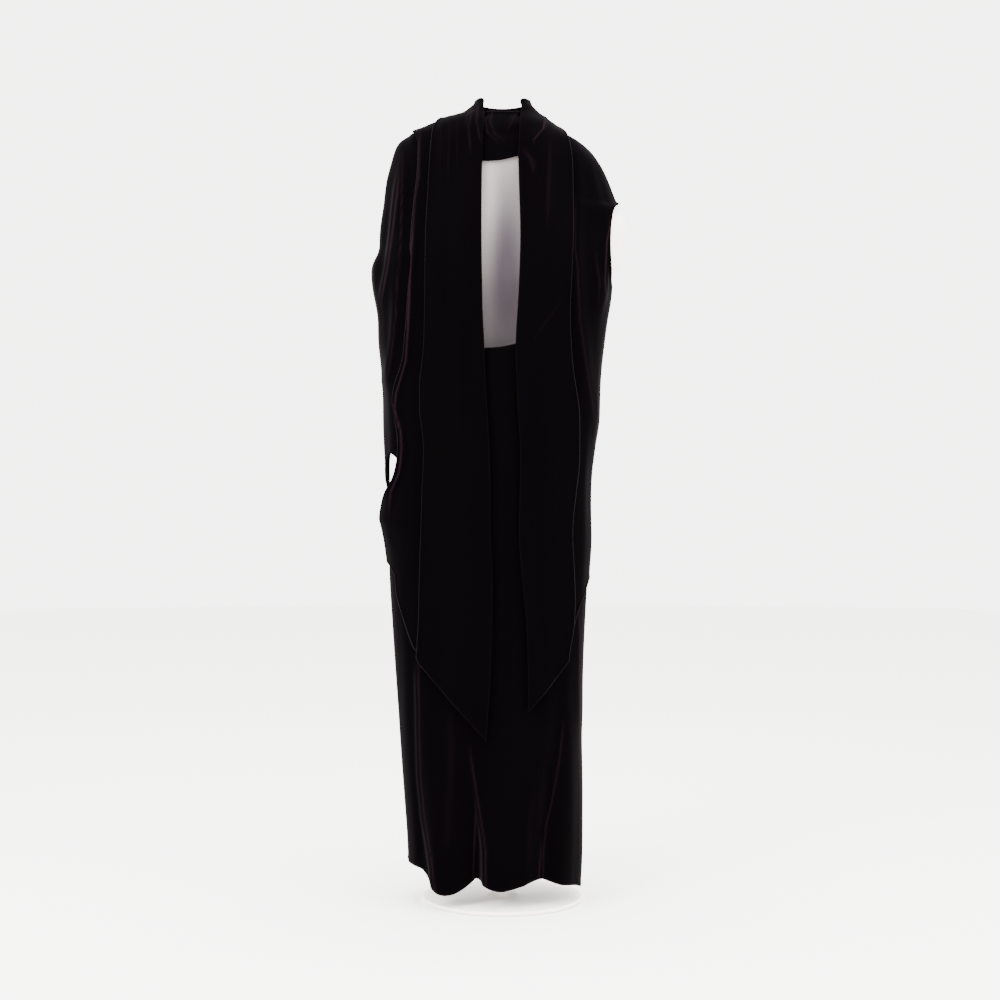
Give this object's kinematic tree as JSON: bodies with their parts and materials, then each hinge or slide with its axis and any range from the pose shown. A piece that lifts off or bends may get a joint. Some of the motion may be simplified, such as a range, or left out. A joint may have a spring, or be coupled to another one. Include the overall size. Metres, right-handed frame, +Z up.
{
  "type": "cape dress on a dress form",
  "caption": "Floor-length velvet column dress with a cape and long scarf ends, worn by a plain limbless dress form on a round stand.",
  "frame": {"origin": "centre of the stand's round plate, on its underside, where the part rests", "axes": "+Z up along the pole to the neck, -Y the front of the dress, +X the right side as seen from the front"},
  "size_m": [0.4615, 0.2922, 1.4354],
  "materials": {
    "velvet": "dark silk velvet",
    "form_skin": "satin",
    "stand_paint": "satin"
  },
  "bodies": {
    "root": {"form_torso": "form_skin", "stand_plate": "stand_paint", "stand_pole": "stand_paint", "gown_front": "velvet", "gown_back": "velvet", "neck_band": "velvet", "cape_front_left": "velvet", "cape_front_right": "velvet", "cape_side_left": "velvet", "cape_back": "velvet", "scarf_collar": "velvet", "scarf_end_left": "velvet", "scarf_end_right": "velvet"}
  },
  "joints": []
}
